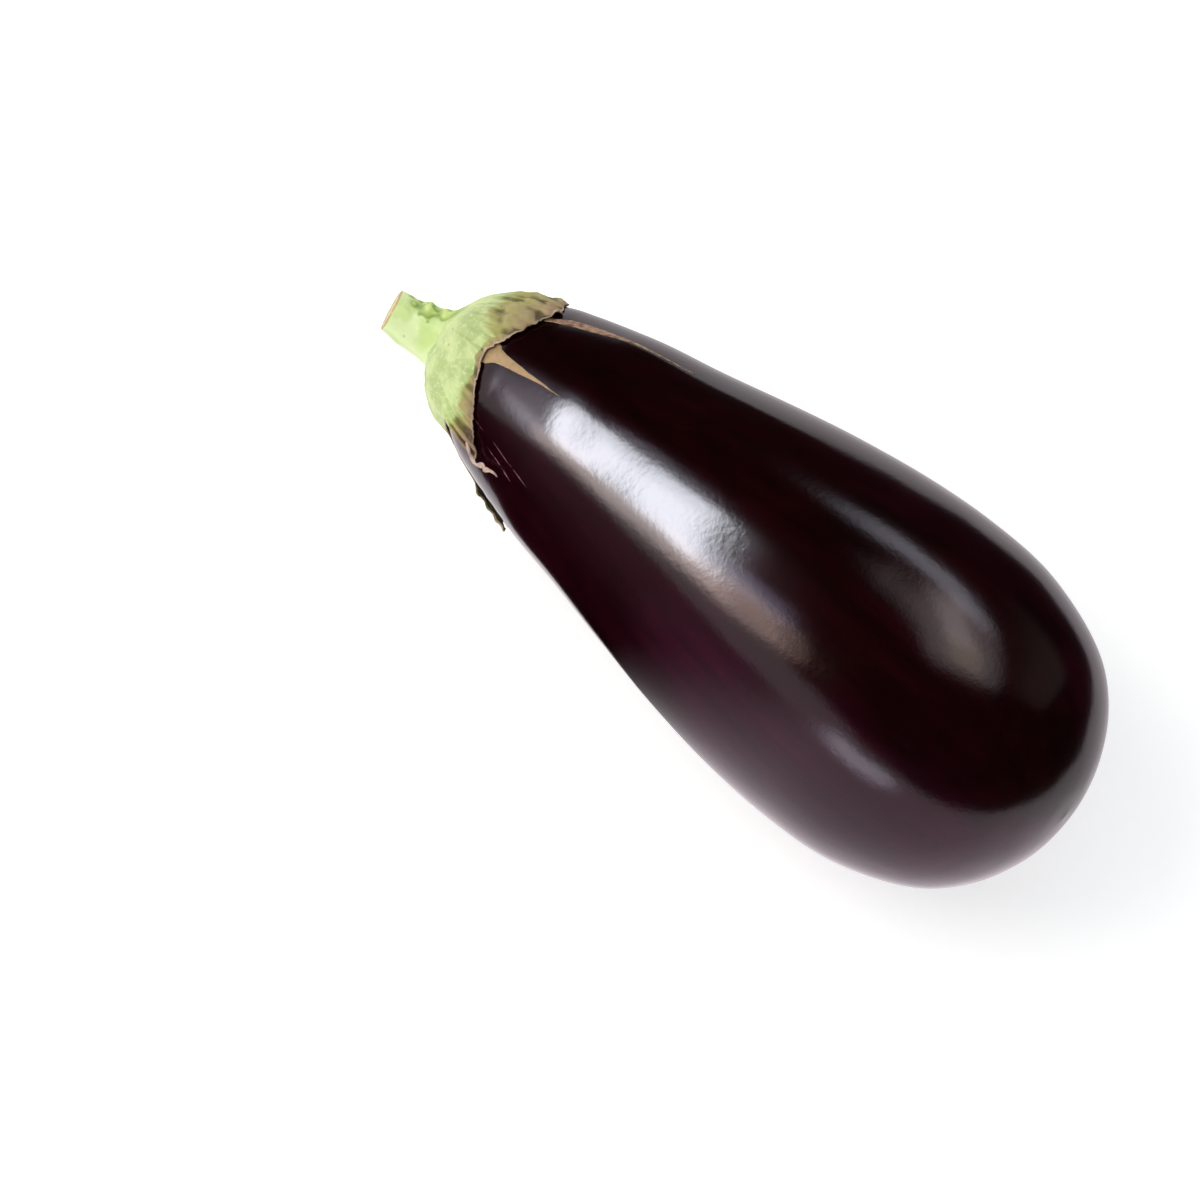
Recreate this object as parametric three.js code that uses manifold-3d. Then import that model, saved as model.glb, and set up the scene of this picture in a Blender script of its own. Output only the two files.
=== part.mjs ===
// An eggplant as picked, lying on its side. Millimetres, +Z up, +X towards the blossom end.
// The origin is in the small flat spot that the belly rests on.
//
// The fruit is modelled about its own axis first: x is the distance from its stem pole, and an
// angle about the axis is 0 on top and 90 on the +Y side. Then both bodies are laid down.
import * as THREE from 'three';
import { mergeVertices } from 'three/addons/utils/BufferGeometryUtils.js';
import Module from 'manifold-3d';

const wasm = await Module();
wasm.setup();

// Fruit: half outline from the stem pole to the blossom pole, as [distance along the axis, radius].
const FRUIT_OUTLINE = [
  [0, 0], [1, 7.2], [3, 13], [7, 18.5], [13.5, 22.7], [20, 25.9], [40, 30.9], [60, 34.4], [80, 38.5],
  [100, 42.3], [120, 45], [140, 46], [160, 44.4], [180, 37.1], [190, 28.5], [196, 18.85], [199, 9.6],
  [200, 0],
];
const FRUIT_RINGS = 34;
const FRUIT_COLUMNS = 60;
// How far from round the fruit is, as a share of its radius: an oval and low lobes all along,
// and flats that only the neck has.
const OVAL_SHARE = 0.01;
const LOBE_SHARE = 0.005;
const FLAT_SHARE = 0.008;
const NECK_LENGTH = 60;

// How it lies: the axis rises towards the blossom end, and the belly is pressed flat this deep.
const LYING_TILT_DEG = 7;
const FLAT_SPOT_DEPTH = 0.8;
// The block that presses it flat, as [length, width, depth]; wider than the belly that it meets.
const PRESSING_BLOCK = [120, 90, 10];

// Calyx: a fleshy cap that thins out to blades lying on the skin.
const SKIN_GAP = 0.35;
const BLADE_THICKNESS = 0.85;
const FLESH_THICKNESS = 3.5;
const FLESH_REACH = 18.5;
const FLESH_FALL = 3.5;
// The stem leaves the cap off its middle, and the cap is thicker on that side.
const FLESH_LEAN_SHARE = 0.25;
const FLESH_LEAN_ANGLE_DEG = 255;
const MIDRIB_HEIGHT = 0.6;
const MIDRIB_WIDTH = 2.4;
const CAP_REACH = 13;
const EDGE_WAVE_HEIGHT = 0.6;
const EDGE_WAVES = 31;
const LIFT_START = 26;

// Sepals in order about the axis. Each one's outline runs from the notch before it, over its tip, to
// the last point before the next notch, as [angle about the axis, reach along the skin from the pole].
// Its base on the cap starts at the angle capStart, and its tip stands off the skin by tipLift.
const SEPALS = [
  {
    capStart: -15,
    tipLift: 0.9,
    outline: [
      [-15, 30.4], [-3, 32.8], [10, 35], [26, 36.5], [34, 37.4], [40, 37], [46, 35.3], [53, 33.6],
      [68, 31.2],
    ],
  },
  {
    capStart: 80,
    tipLift: 2,
    outline: [[80, 28.5], [89, 33], [97, 38], [103, 43.5], [106, 48], [110, 42], [118, 34]],
  },
  {
    capStart: 128,
    tipLift: 1.2,
    outline: [[128, 28], [138, 32], [146, 37], [151, 43], [155, 38.5], [162, 33]],
  },
  {
    capStart: 170,
    tipLift: 1.2,
    outline: [[170, 29], [178, 34], [185, 40], [190, 46], [194, 41], [202, 33.5]],
  },
  {
    capStart: 212,
    tipLift: 1,
    outline: [
      [212, 28], [220, 34], [229, 41], [239, 49], [248, 57.5], [250.8, 56], [251.6, 49], [252.3, 42],
      [253.4, 35.5], [257.5, 29.5],
    ],
  },
  {
    capStart: 275,
    tipLift: 1.4,
    outline: [
      [264, 27], [287, 28.6], [292, 33.5], [293, 38], [293.5, 43], [295.5, 48.5], [298.5, 53],
      [300.3, 50.5], [301, 46.5], [302, 42.8], [305.5, 40], [312.5, 37], [324.5, 34], [336, 32],
    ],
  },
];
const COLUMNS_PER_OUTLINE_POINT = 3;
const BLADE_BANDS = 8;
const UNDER_CAP_REACH = 7;

// Stem: centres from where it leaves the cap to its cut end, as [x, y, z], with the radius at each.
const STEM_CENTRES = [[-6.4, -3.6, 0], [-13.4, -5.4, 1.2], [-20.2, -6.8, 3]];
const STEM_RADII = [7.5, 6.3, 5.5];
const STEM_BANDS = 6;
const STEM_RIDGES = 6;
const STEM_RIDGE_SHARE = 0.05;
const STEM_ROOT_DEPTH = 1.3;
const FLARE_BANDS = 4;
const CUT_DIRECTION = [-0.861, -0.308, 0.404];
const CUT_EDGE_ROUNDING = 0.6;
const PITH_SHARE = 0.72;
const PITH_DEPTH = 0.5;
// A lumpy ridge along the upper side of the stem.
const LUMP_ANGLE_DEG = 30;
const LUMP_SPREAD_DEG = 24;
const LUMP_HEIGHT = 0.8;
const LUMP_WAVES = 2.6;

const { degToRad, lerp, clamp } = THREE.MathUtils;
const SKIN_COLOUR = '#24101a';
const GREEN_COLOUR = '#b9cf83';
const SKIN_ROUGHNESS = 0.12;
const GREEN_ROUGHNESS = 0.6;

const fruitOutline = new THREE.CatmullRomCurve3(
  FRUIT_OUTLINE.map(([x, radius]) => new THREE.Vector3(x, radius, 0)),
);
fruitOutline.arcLengthDivisions = 3000;
const outlineLength = fruitOutline.getLength();

function aroundAxis(x, radius, angle) {
  return new THREE.Vector3(x, radius * Math.sin(angle), radius * Math.cos(angle));
}

// The fruit's radius at an angle, as a share of the round radius that the outline gives.
function roundness(angle, x) {
  const oval = OVAL_SHARE * Math.cos(2 * angle - 0.7);
  const lobes = LOBE_SHARE * Math.cos(3 * angle + 0.9);
  const flats = FLAT_SHARE * Math.cos(5 * angle + 0.4) * Math.exp(-x / NECK_LENGTH);
  return 1 + oval + lobes + flats;
}

// The point at a height above the skin, where reach is the way along the skin from the stem pole.
function aboveSkin(reach, angle, height) {
  const share = clamp(reach / outlineLength, 0, 1);
  const point = fruitOutline.getPointAt(share);
  const tangent = fruitOutline.getTangentAt(share);
  const radius = point.y * roundness(angle, point.x) + tangent.x * height;
  return aroundAxis(point.x - tangent.y * height, radius, angle);
}

// Closes a stack of rings into one body, with a fan to a point at each end. From the ring numbered
// `returning` on, bands split along the other diagonal, so that both faces of a blade split alike.
function closeStack(start, rings, end, returning = rings.length) {
  const columns = rings[0].length;
  const vertices = [start, ...rings.flat(), end];
  const lastVertex = vertices.length - 1;
  const lastRing = rings.length - 1;
  const at = (ring, column) => 1 + ring * columns + (column % columns);
  const triangles = [];
  for (let column = 0; column < columns; column += 1) {
    triangles.push(0, at(0, column), at(0, column + 1));
    triangles.push(lastVertex, at(lastRing, column + 1), at(lastRing, column));
    for (let ring = 0; ring < lastRing; ring += 1) {
      const near = at(ring, column);
      const far = at(ring + 1, column);
      const nearNext = at(ring, column + 1);
      const farNext = at(ring + 1, column + 1);
      if (ring < returning) {
        triangles.push(near, far, farNext, near, farNext, nearNext);
      } else {
        triangles.push(near, far, nearNext, far, farNext, nearNext);
      }
    }
  }
  const geometry = new THREE.BufferGeometry().setFromPoints(vertices);
  geometry.setIndex(triangles);
  return geometry;
}

function makeFruit() {
  const rings = [];
  for (let ring = 1; ring < FRUIT_RINGS; ring += 1) {
    const reach = (outlineLength * ring) / FRUIT_RINGS;
    const points = [];
    for (let column = 0; column < FRUIT_COLUMNS; column += 1) {
      points.push(aboveSkin(reach, (2 * Math.PI * column) / FRUIT_COLUMNS, 0));
    }
    rings.push(points);
  }
  return closeStack(aboveSkin(0, 0, 0), rings, aboveSkin(outlineLength, 0, 0));
}

// The calyx spread out flat round the stem pole: reach is the distance from the middle.
function spreadOut(reach, angle) {
  return new THREE.Vector3(reach * Math.cos(angle), reach * Math.sin(angle), 0);
}

// One entry for each column of the calyx: where it ends on the rim of the spread-out calyx, the
// angle it starts at on the cap, how near the middle of its sepal it is, and what its sepal is like.
function calyxColumns() {
  const outline = SEPALS.flatMap((sepal) => sepal.outline);
  const rim = new THREE.CatmullRomCurve3(
    outline.map(([angle, reach]) => spreadOut(reach, degToRad(angle))),
    true,
  );
  const count = outline.length * COLUMNS_PER_OUTLINE_POINT;
  const columns = [];
  SEPALS.forEach((sepal, order) => {
    const last = order === SEPALS.length - 1;
    const capEnd = last ? SEPALS[0].capStart + 360 : SEPALS[order + 1].capStart;
    const tipReach = Math.max(...sepal.outline.map(([, reach]) => reach));
    const tipAngle = sepal.outline.find(([, reach]) => reach === tipReach)[0];
    const midrib = new THREE.Line3(
      spreadOut(CAP_REACH, degToRad((sepal.capStart + capEnd) / 2)),
      spreadOut(tipReach, degToRad(tipAngle)),
    );
    const sepalColumns = sepal.outline.length * COLUMNS_PER_OUTLINE_POINT;
    for (let step = 0; step < sepalColumns; step += 1) {
      const across = step / sepalColumns;
      columns.push({
        rimPoint: rim.getPoint(columns.length / count),
        capAngle: degToRad(lerp(sepal.capStart, capEnd, across)),
        edgePhase: (2 * Math.PI * columns.length) / count,
        middle: Math.sin(Math.PI * across),
        tipLift: sepal.tipLift,
        tipReach,
        midrib,
      });
    }
  });
  return columns;
}

// How far a blade's underside stands off the skin: raised tips, and an edge that waves.
function bladeLift(column, reach, outward) {
  const towardsTip = clamp((reach - LIFT_START) / (column.tipReach - LIFT_START), 0, 1);
  const raised = column.tipLift * column.middle * towardsTip ** 2;
  const wave = (1 + Math.cos(EDGE_WAVES * column.edgePhase)) / 2;
  return raised + EDGE_WAVE_HEIGHT * wave * outward ** 4;
}

function bladeThickness(column, spread, outward) {
  const reach = spread.length();
  const lean = 1 + FLESH_LEAN_SHARE * Math.cos(column.capAngle - degToRad(FLESH_LEAN_ANGLE_DEG));
  const flesh = FLESH_THICKNESS * lean * Math.exp(-((reach / FLESH_REACH) ** FLESH_FALL));
  const offMidrib = spread.distanceTo(column.midrib.at(outward, new THREE.Vector3()));
  const ridge = MIDRIB_HEIGHT * Math.exp(-((offMidrib / MIDRIB_WIDTH) ** 2)) * (1 - outward);
  return BLADE_THICKNESS + flesh + ridge;
}

// The rings of one face of the calyx from the cap (outward 0) to the rim (outward 1).
function bladeRings(columns, isOuter) {
  const rings = [];
  for (let band = 0; band <= BLADE_BANDS; band += 1) {
    const outward = band / BLADE_BANDS;
    rings.push(columns.map((column) => {
      const spread = spreadOut(CAP_REACH, column.capAngle).lerp(column.rimPoint, outward);
      const reach = spread.length();
      const underside = SKIN_GAP + bladeLift(column, reach, outward);
      const height = isOuter ? underside + bladeThickness(column, spread, outward) : underside;
      return aboveSkin(reach, Math.atan2(spread.y, spread.x), height);
    }));
  }
  return rings;
}

// A ring of the stem: along is 0 where it leaves the cap and 1 at the cut end. The rings turn
// from square across the stem to the slant of the cut.
function stemRing(columns, centres, radii, along, widthShare = 1, inset = 0) {
  const direction = centres.getTangent(along);
  const slant = new THREE.Vector3(...CUT_DIRECTION);
  const normal = direction.lerp(slant, along ** 2).normalize();
  const upwards = new THREE.Vector3(0, 0, 1).projectOnPlane(normal).normalize();
  const sideways = new THREE.Vector3().crossVectors(normal, upwards);
  const centre = centres.getPoint(along).addScaledVector(normal, -inset);
  const radius = radii.getPoint(along).x;
  return columns.map(({ capAngle }) => {
    const ridges = 1 + STEM_RIDGE_SHARE * Math.cos(STEM_RIDGES * capAngle);
    const offRidge = (capAngle - degToRad(LUMP_ANGLE_DEG)) / degToRad(LUMP_SPREAD_DEG);
    const lumpWave = 0.6 + 0.4 * Math.cos(2 * Math.PI * LUMP_WAVES * along);
    const lumps = LUMP_HEIGHT * lumpWave * Math.exp(-(offRidge ** 2)) * (1 - along ** 4);
    const width = (radius * ridges + lumps) * widthShare;
    return centre.clone()
      .addScaledVector(upwards, width * Math.cos(capAngle))
      .addScaledVector(sideways, width * Math.sin(capAngle));
  });
}

// The hollow curve by which the stem's foot runs out onto the cap, ring by ring.
function flareRings(foot, root, cap) {
  const rings = [];
  for (let band = 1; band < FLARE_BANDS; band += 1) {
    rings.push(foot.map((point, column) => (
      new THREE.QuadraticBezierCurve3(point, root[column], cap[column]).getPoint(band / FLARE_BANDS)
    )));
  }
  return rings;
}

function makeCalyxAndStem() {
  const columns = calyxColumns();
  const centres = new THREE.CatmullRomCurve3(STEM_CENTRES.map((centre) => new THREE.Vector3(...centre)));
  const radii = new THREE.CatmullRomCurve3(STEM_RADII.map((radius) => new THREE.Vector3(radius, 0, 0)));
  const ringAt = (...settings) => stemRing(columns, centres, radii, ...settings);

  const cutRadius = STEM_RADII[STEM_RADII.length - 1];
  const edgeShare = 1 - CUT_EDGE_ROUNDING / cutRadius;
  const rings = [ringAt(1, PITH_SHARE, PITH_DEPTH), ringAt(1, edgeShare, 0), ringAt(1, 1, CUT_EDGE_ROUNDING)];
  for (let band = STEM_BANDS - 1; band >= 0; band -= 1) {
    rings.push(ringAt(band / STEM_BANDS));
  }
  const foot = rings[rings.length - 1];
  const root = ringAt(0, 1, STEM_ROOT_DEPTH);
  const outer = bladeRings(columns, true);
  const inner = bladeRings(columns, false).reverse();
  rings.push(...flareRings(foot, root, outer[0]), ...outer);
  const returning = rings.length;
  rings.push(...inner, columns.map(({ capAngle }) => aboveSkin(UNDER_CAP_REACH, capAngle, SKIN_GAP)));

  const slant = new THREE.Vector3(...CUT_DIRECTION).normalize();
  const pithCentre = centres.getPoint(1).addScaledVector(slant, -PITH_DEPTH);
  return closeStack(pithCentre, rings, aboveSkin(0, 0, SKIN_GAP), returning);
}

// Where the belly meets the surface once the fruit is tilted: the lowest point of its underside.
function lowestSkinPoint(tilt) {
  const underside = fruitOutline.getPoints(outlineLength).map((point) => {
    const skin = aroundAxis(point.x, point.y * roundness(Math.PI, point.x), Math.PI);
    return skin.applyAxisAngle(new THREE.Vector3(0, 1, 0), tilt);
  });
  return underside.reduce((lowest, point) => (point.z < lowest.z ? point : lowest));
}

function layDown(geometry) {
  const tilt = -degToRad(LYING_TILT_DEG);
  const touch = lowestSkinPoint(tilt);
  return geometry.rotateY(tilt).translate(-touch.x, 0, -touch.z - FLAT_SPOT_DEPTH);
}

function toSolid(geometry) {
  return new wasm.Manifold(new wasm.Mesh({
    numProp: 3,
    vertProperties: geometry.attributes.position.array,
    triVerts: new Uint32Array(geometry.index.array),
  }));
}

function toGeometry(solid) {
  const { vertProperties, triVerts } = solid.getMesh();
  const geometry = new THREE.BufferGeometry();
  geometry.setAttribute('position', new THREE.BufferAttribute(vertProperties, 3));
  geometry.setIndex(new THREE.BufferAttribute(triVerts, 1));
  return geometry;
}

// Cuts away what would be below the surface, which leaves the flat spot.
function pressFlat(geometry) {
  const [length, width, depth] = PRESSING_BLOCK;
  const surface = new THREE.BoxGeometry(length, width, depth).translate(0, 0, -depth / 2);
  ['normal', 'uv'].forEach((name) => surface.deleteAttribute(name));
  return toGeometry(toSolid(geometry).subtract(toSolid(mergeVertices(surface))));
}

function namedMesh(name, geometry, colour, roughness) {
  geometry.computeVertexNormals();
  const mesh = new THREE.Mesh(geometry, new THREE.MeshStandardMaterial({ color: colour, roughness }));
  mesh.name = name;
  return mesh;
}

const group = new THREE.Group();
group.add(
  namedMesh('fruit', pressFlat(layDown(makeFruit())), SKIN_COLOUR, SKIN_ROUGHNESS),
  namedMesh('calyx_and_stem', layDown(makeCalyxAndStem()), GREEN_COLOUR, GREEN_ROUGHNESS),
);

export default group;
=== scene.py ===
# %% [markdown]
# # A glossy eggplant lying on its side
#
# An eggplant looks simple, but each of its parts meets the light in its own way. The skin is a
# thin wax film over near-black purple, so most of what we see on it is reflection. The calyx and
# the stem are soft green flesh that dries to brown paper at its edges. The scars are cork.
#
# We work in three steps: the camera and a few helpers, then each piece as a mesh of its own, then
# the finishes and the light. All lengths below are in millimetres until a mesh is made.

import math

import bpy
import numpy as np
from mathutils import Matrix, Vector, noise


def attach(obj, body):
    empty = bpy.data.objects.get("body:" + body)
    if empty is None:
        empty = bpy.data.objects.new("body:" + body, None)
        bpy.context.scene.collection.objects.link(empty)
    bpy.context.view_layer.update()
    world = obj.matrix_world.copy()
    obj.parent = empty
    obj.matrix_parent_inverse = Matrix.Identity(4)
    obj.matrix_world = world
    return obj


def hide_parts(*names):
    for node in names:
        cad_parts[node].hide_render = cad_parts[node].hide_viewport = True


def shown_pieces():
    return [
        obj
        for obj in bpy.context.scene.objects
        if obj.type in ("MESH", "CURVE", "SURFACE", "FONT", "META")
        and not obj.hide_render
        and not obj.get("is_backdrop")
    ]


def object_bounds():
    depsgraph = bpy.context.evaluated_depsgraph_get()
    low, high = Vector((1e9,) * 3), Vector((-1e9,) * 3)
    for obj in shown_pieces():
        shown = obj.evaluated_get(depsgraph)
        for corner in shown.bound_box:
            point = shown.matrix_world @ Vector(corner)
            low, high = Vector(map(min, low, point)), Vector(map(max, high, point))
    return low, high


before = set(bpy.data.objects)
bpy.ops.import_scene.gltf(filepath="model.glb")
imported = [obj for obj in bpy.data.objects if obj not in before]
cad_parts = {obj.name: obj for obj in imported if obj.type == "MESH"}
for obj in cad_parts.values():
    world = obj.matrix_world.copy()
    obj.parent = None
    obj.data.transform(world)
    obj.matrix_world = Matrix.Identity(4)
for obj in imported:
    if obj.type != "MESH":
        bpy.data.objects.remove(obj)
solid_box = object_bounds()
print("solids from", tuple(solid_box[0]), "to", tuple(solid_box[1]))

# %% [markdown]
# ## The fruit's own axis
#
# It is far easier to describe an eggplant standing on its own axis than lying on a table. So every
# point is first given by its reach, which is the way along the skin from the stem pole, by its
# angle about the axis, 0 on top and 90 on the +Y side, and by its height above the skin. One
# function turns these into places on the table. The outline is a smooth curve through a few points.

# %% A smooth curve through a few points
FRUIT_OUTLINE = [
    (0, 0), (1, 7.2), (3, 13), (7, 18.5), (13.5, 22.7), (20, 25.9), (40, 30.9), (60, 34.4),
    (80, 38.5), (100, 42.3), (120, 45), (140, 46), (160, 44.4), (180, 37.1), (190, 28.5),
    (196, 18.85), (199, 9.6), (200, 0),
]


def smooth_curve(points, steps, closed=False):
    """A centripetal Catmull-Rom curve through the points, with this many samples in each span."""
    p = np.array(points, float)
    ends = (p[-1:], p[:2]) if closed else ([2 * p[0] - p[1]], [2 * p[-1] - p[-2]])
    p = np.vstack([ends[0], p, ends[1]])
    t = np.arange(steps)[:, None] / steps
    spans = []
    for a, b, c, d in zip(p, p[1:], p[2:], p[3:]):
        ab, bc, cd = (math.sqrt(math.dist(u, v)) for u, v in ((a, b), (b, c), (c, d)))
        leave = ((b - a) / ab - (c - a) / (ab + bc) + (c - b) / bc) * bc
        arrive = ((c - b) / bc - (d - b) / (bc + cd) + (d - c) / cd) * bc
        curve = b + leave * t + (3 * (c - b) - 2 * leave - arrive) * t**2
        spans.append(curve + (2 * (b - c) + leave + arrive) * t**3)
    return np.vstack(spans if closed else [*spans, p[-2:-1]])


outline_x, outline_radius = smooth_curve(FRUIT_OUTLINE, 200).T
outline_reach = np.append(0, np.hypot(np.diff(outline_x), np.diff(outline_radius)).cumsum())
slope_x = np.gradient(outline_x, outline_reach)
slope_radius = np.gradient(outline_radius, outline_reach)
FRUIT_REACH = outline_reach[-1]
print(f"the skin runs {FRUIT_REACH:.1f} mm from pole to pole")

# %% From reach, angle and height to a place on the table
LYING_TILT = math.radians(7)
FLAT_SPOT_DEPTH = 0.8
OVAL, LOBES, NECK_FLATS = 0.01, 0.005, 0.008  # as shares of the radius
NECK_FLATS_FADE = 60


def roundness(angle, x):
    """The radius as a share of the outline's: slightly oval, with low lobes and flats at the neck."""
    flats = NECK_FLATS * np.cos(5 * angle + 0.4) * np.exp(-x / NECK_FLATS_FADE)
    return 1 + OVAL * np.cos(2 * angle - 0.7) + LOBES * np.cos(3 * angle + 0.9) + flats


def about_axis(x, radius, angle):
    return np.stack(np.broadcast_arrays(x, radius * np.sin(angle), radius * np.cos(angle)), -1)


def above_skin(reach, angle, height):
    """Points over the skin, about the fruit's own axis."""
    reach = np.clip(reach, 0, FRUIT_REACH)
    x, radius, along, outwards = (
        np.interp(reach, outline_reach, of) for of in (outline_x, outline_radius, slope_x, slope_radius)
    )
    return about_axis(x - outwards * height, radius * roundness(angle, x) + along * height, angle)


def tilted(points):
    x, y, z = np.moveaxis(np.asarray(points, float), -1, 0)
    sin, cos = math.sin(LYING_TILT), math.cos(LYING_TILT)
    return np.stack([x * cos - z * sin, y, x * sin + z * cos], -1)


belly_line = tilted(about_axis(outline_x, outline_radius * roundness(math.pi, outline_x), math.pi))
touch = belly_line[belly_line[:, 2].argmin()]


def laid_down(points):
    return tilted(points) - [touch[0], 0, touch[2] + FLAT_SPOT_DEPTH]


print(f"the belly touches {touch[0]:.1f} mm along, with the axis {-touch[2]:.1f} mm above it")

# %% [markdown]
# ## One way to make every mesh
#
# The fruit, the calyx with its stem, and the scars can all be made as a stack of rings closed by a
# fan at each end, as a potter builds from coils. That keeps every body closed, lets a formula
# decide each point, and leaves even quads that shade smoothly.

# %% Rings into a closed body
MM = 0.001


def in_scene(name, data):
    """A new object with this mesh, lens or light."""
    made = bpy.data.objects.new(name, data)
    bpy.context.scene.collection.objects.link(made)
    return made


def closed_body(name, start, rings, end, marks=None):
    """rings is (rings, columns, 3) in mm on the table; marks are values that the finish reads."""
    count, columns = rings.shape[:2]
    mesh = bpy.data.meshes.new(name)
    first = 1 + np.arange(columns)
    here, after = first, 1 + (np.arange(columns) + 1) % columns
    down = (np.arange(count - 1) * columns)[:, None]
    quads = np.stack([here + down, here + down + columns, after + down + columns, after + down], -1)
    last = (count - 1) * columns
    tip = count * columns + 1
    fans = [(0, int(a), int(b)) for a, b in zip(here, after)]
    fans += [(tip, int(b) + last, int(a) + last) for a, b in zip(here, after)]
    points = np.vstack([start, rings.reshape(-1, 3), end]) * MM
    mesh.from_pydata(points.tolist(), [], fans + quads.reshape(-1, 4).tolist())
    mesh.shade_smooth()
    for mark, values in (marks or {}).items():
        whole = np.concatenate([values[0][:1], np.ravel(values), values[-1][:1]])
        mesh.attributes.new(mark, "FLOAT", "POINT").data.foreach_set("value", whole.astype(np.float32))
    piece = in_scene(name, mesh)
    mesh.validate()
    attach(piece, "root")
    print(f"{name}: {len(mesh.polygons)} faces, closed from {count} rings of {columns}")
    return piece


print(f"lengths are in mm, and times {MM} in a mesh")

# %% [markdown]
# ## Two helpers for uneven shapes
#
# Grown things are uneven in a smooth way. A texture could show that, but only a function can also
# move the points of a mesh, and it gives pieces that touch the same value at the same place. The
# other helper is a soft step, which lets one shape fade into the next without a line.

# %% Noise and a soft step
def grain(points, size, seed=0.0):
    """Smooth noise between about -1 and 1 at each point; its lumps are about `size` mm apart."""
    flat = np.asarray(points, float).reshape(-1, points.shape[-1]) / size + seed
    flat = np.hstack([flat, np.full((len(flat), 3 - flat.shape[1]), seed)])
    values = [noise.noise(Vector(p)) for p in flat]
    return np.array(values).reshape(points.shape[:-1])


def ease(low, high, value):
    """0 below low, 1 above high, and a soft S between."""
    t = np.clip((value - low) / (high - low), 0, 1)
    return t * t * (3 - 2 * t)


print("a soft step is at", ease(0, 1, 0.25), "a quarter of the way")

# %% [markdown]
# ## The camera
#
# The eggplant is looked down on, a little from the blossom end's side. A long lens from about a
# metre keeps the outline true, as it is when one bends over a table to look at it. The camera could
# be turned by hand, but three axes worked out from two angles say exactly how it stands.

# %% Place the camera
CAMERA_AZIMUTH = math.radians(42.652)
CAMERA_ELEVATION = math.radians(70.245)
CAMERA_DISTANCE = 992.1
LOOK_RIGHT, LOOK_UP = -38.79, -6.85

sin_a, cos_a = math.sin(CAMERA_AZIMUTH), math.cos(CAMERA_AZIMUTH)
sin_e, cos_e = math.sin(CAMERA_ELEVATION), math.cos(CAMERA_ELEVATION)
right = Vector((cos_a, sin_a, 0))
up = Vector((-sin_a * sin_e, cos_a * sin_e, cos_e))
back = Vector((sin_a * cos_e, -cos_a * cos_e, sin_e))
middle = Vector(laid_down([100, 0, 0]))

lens = bpy.data.cameras.new("camera")
lens.lens = 120
lens.sensor_width = 36
camera = in_scene("camera", lens)
camera.matrix_world = Matrix((right, up, back)).transposed().to_4x4()
camera.location = (middle + right * LOOK_RIGHT + up * LOOK_UP + back * CAMERA_DISTANCE) * MM
bpy.context.scene.camera = camera
print("camera at", tuple(round(v, 3) for v in camera.location))

# %% [markdown]
# ## The skin
#
# A real skin is never a perfect lathe shape. It has shallow dents a thumb wide that break up every
# highlight, and where scar tissue pulls on it a faint raised crease runs lengthwise. The skin lies a
# few tenths of a millimetre below the smooth outline, so that all of this stays inside it. Just
# below the calyx and at the blossom end it is drawn in a little more, and the belly is pressed flat
# where it rests.
#
# A bump in the finish wouldn't bend a long reflection, so the dents are in the mesh. One function
# gives the height of the skin anywhere, for the calyx and the scars to follow.

# %% How high the skin lies
SKIN_BELOW = 0.42
BROAD_DENT, SMALL_DENT, FINE_DENT = 0.18, 0.045, 0.022
CREASE_ANGLE, CREASE_RADIUS = math.radians(37), 30
CREASE_HEIGHT, CREASE_WIDTH = 0.24, 3.5
BLOSSOM_END_IN = 0.25
NECK_SLOPE, NECK_SOFTNESS = 0.045, 3
NECK_COVERED, NECK_END = 40, 64


def neck_in(reach):
    """How much the neck is drawn in, in mm: evenly more towards the calyx, from a soft start."""
    inwards = NECK_END - np.maximum(reach, NECK_COVERED)
    return NECK_SLOPE * NECK_SOFTNESS * np.logaddexp(0, inwards / NECK_SOFTNESS)


def skin_height(reach, angle):
    """How far the real skin lies from the smooth outline, in mm; it is a little below it."""
    place = above_skin(reach, angle, 0)
    broad = grain(place * [0.6, 1, 1], 26, 3.1)
    small = grain(place * [0.45, 1, 1], 9, 8.7)
    fine = ease(115, 150, reach) * grain(place * [0.5, 1, 1], 4.8, 5.5)
    off_crease = np.angle(np.exp(1j * (angle - CREASE_ANGLE))) * CREASE_RADIUS
    along = ease(34, 60, reach) * (1 - ease(95, 140, reach))
    crease = CREASE_HEIGHT * along * np.exp(-np.abs(off_crease) / CREASE_WIDTH)
    drawn_in = neck_in(reach) + BLOSSOM_END_IN * ease(FRUIT_REACH - 40, FRUIT_REACH - 15, reach)
    dents = BROAD_DENT * broad + SMALL_DENT * small + FINE_DENT * fine
    return dents + crease - drawn_in - SKIN_BELOW

# %% Lay the skin
SKIN_RINGS = 330
SKIN_COLUMNS = 264

reaches = FRUIT_REACH * np.arange(1, SKIN_RINGS)[:, None] / SKIN_RINGS
angles = 2 * math.pi * np.arange(SKIN_COLUMNS)[None, :] / SKIN_COLUMNS
reaches, angles = np.broadcast_arrays(reaches, angles)
heights = skin_height(reaches, angles)
skin_points = laid_down(above_skin(reaches, angles, heights))
skin_points[..., 2] = np.maximum(skin_points[..., 2], 0)
ends = np.array([0, FRUIT_REACH])
poles = laid_down(above_skin(ends, 0 * ends, skin_height(ends, 0 * ends)))

# A paler purple is painted on the flanks, a painted glow that stands for light thrown up from the
# table: a little on the neck, plainly on the thick half, and more on the -Y side.
off_top = np.abs(np.angle(np.exp(1j * angles)))
painted_flank_glow = ease(math.radians(24), math.radians(52), off_top + 0.12 * grain(skin_points, 14, 0.8))
painted_flank_glow = painted_flank_glow * (0.2 + 0.8 * ease(100, 150, reaches)) * (0.5 - 0.4 * np.sin(angles))
skin = closed_body("skin", poles[0], skin_points, poles[1], {"painted_flank_glow": painted_flank_glow})
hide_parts("fruit")
print(f"the skin lies {-heights.max():.2f} to {-heights.min():.2f} mm below the smooth outline")

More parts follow.
